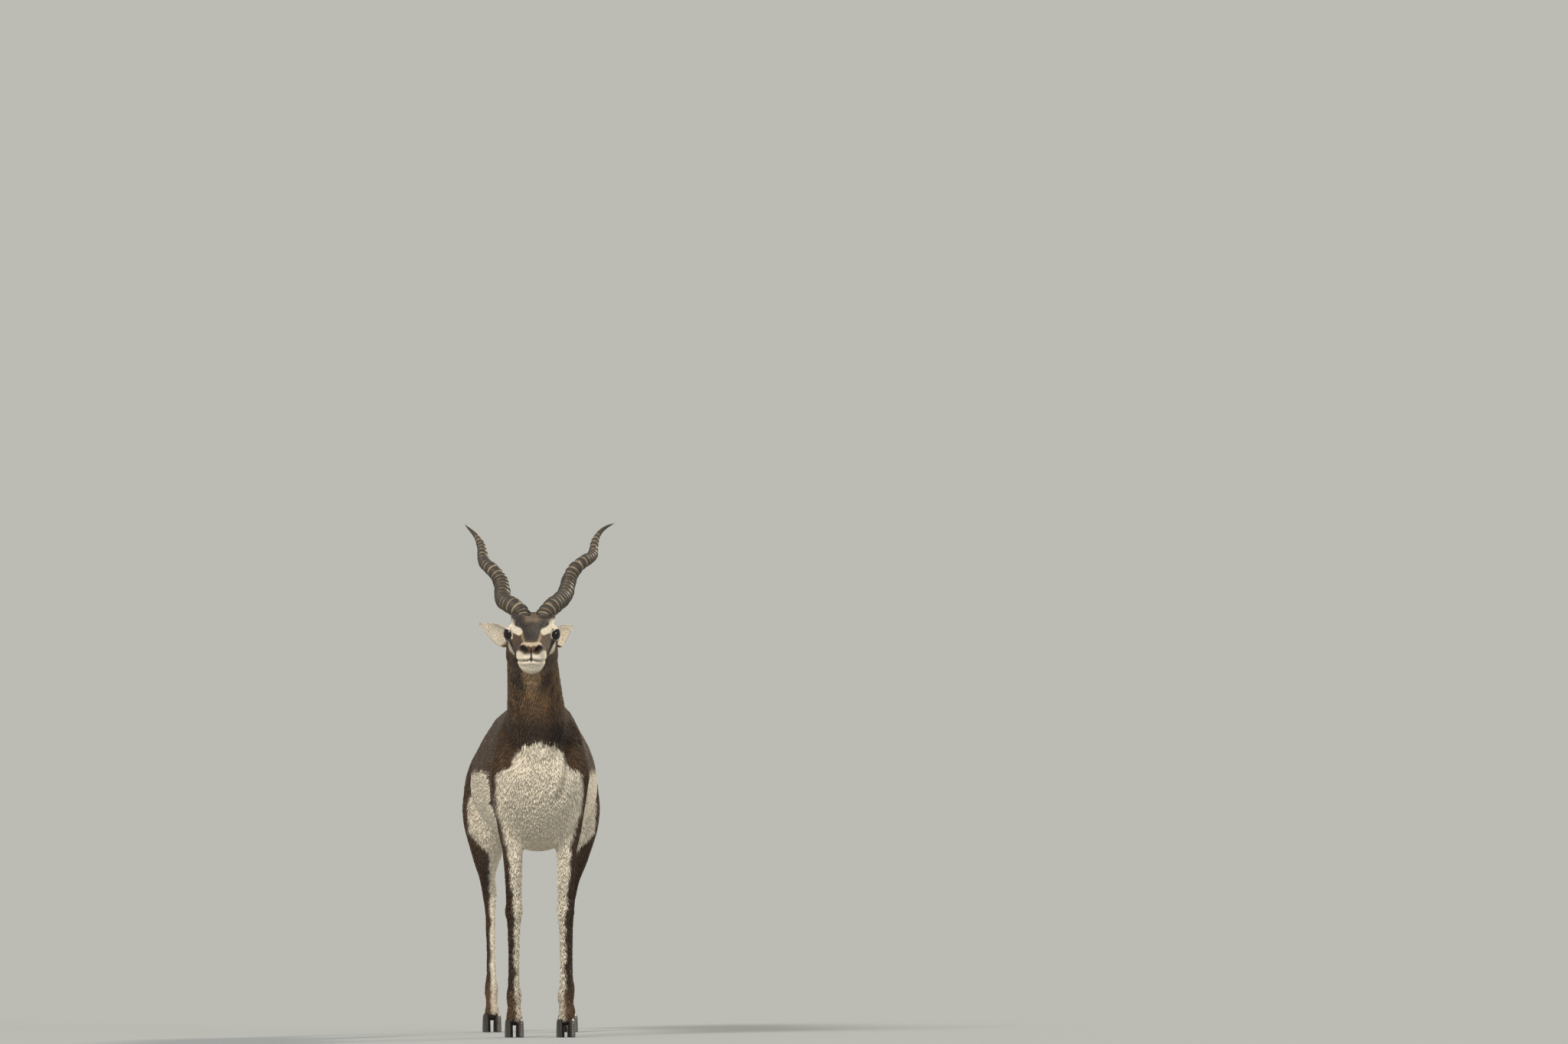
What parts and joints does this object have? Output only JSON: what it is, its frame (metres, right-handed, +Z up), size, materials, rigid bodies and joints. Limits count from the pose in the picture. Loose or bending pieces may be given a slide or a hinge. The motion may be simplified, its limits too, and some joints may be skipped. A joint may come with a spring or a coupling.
{
  "type": "blackbuck",
  "caption": "Life-size museum model of an adult male blackbuck antelope, standing with its head raised to face the viewer, with spiral ringed horns, a dark and white coat and cloven hooves.",
  "frame": {"origin": "on the ground under the middle of the box around the whole animal", "axes": "+Z is up, the animal faces -Y, and its left side is +X"},
  "size_m": [0.3174, 0.984, 1.0791],
  "materials": {
    "dark_coat": "short dark brown hair",
    "white_coat": "short off-white hair",
    "horn": "ringed grey-brown horn, satin",
    "hoof": "dark hoof, worn satin",
    "eye": "very dark brown, wet gloss"
  },
  "bodies": {
    "root": {"barrel": "white_coat", "chest": "dark_coat", "ear_left": "white_coat", "ear_right": "white_coat", "eye_left": "eye", "eye_right": "eye", "foreleg_left_cannon": "dark_coat", "foreleg_left_forearm": "dark_coat", "foreleg_left_pastern": "dark_coat", "foreleg_left_upper_arm": "dark_coat", "foreleg_right_cannon": "dark_coat", "foreleg_right_forearm": "dark_coat", "foreleg_right_pastern": "dark_coat", "foreleg_right_upper_arm": "dark_coat", "head": "dark_coat", "hindleg_left_cannon": "dark_coat", "hindleg_left_gaskin": "dark_coat", "hindleg_left_pastern": "dark_coat", "hindleg_left_thigh": "dark_coat", "hindleg_right_cannon": "dark_coat", "hindleg_right_gaskin": "dark_coat", "hindleg_right_pastern": "dark_coat", "hindleg_right_thigh": "dark_coat", "hoof_fore_left_inner": "hoof", "hoof_fore_left_outer": "hoof", "hoof_fore_right_inner": "hoof", "hoof_fore_right_outer": "hoof", "hoof_hind_left_inner": "hoof", "hoof_hind_left_outer": "hoof", "hoof_hind_right_inner": "hoof", "hoof_hind_right_outer": "hoof", "horn_left": "horn", "horn_right": "horn", "neck": "dark_coat", "rump": "dark_coat", "tail": "dark_coat"}
  },
  "joints": []
}
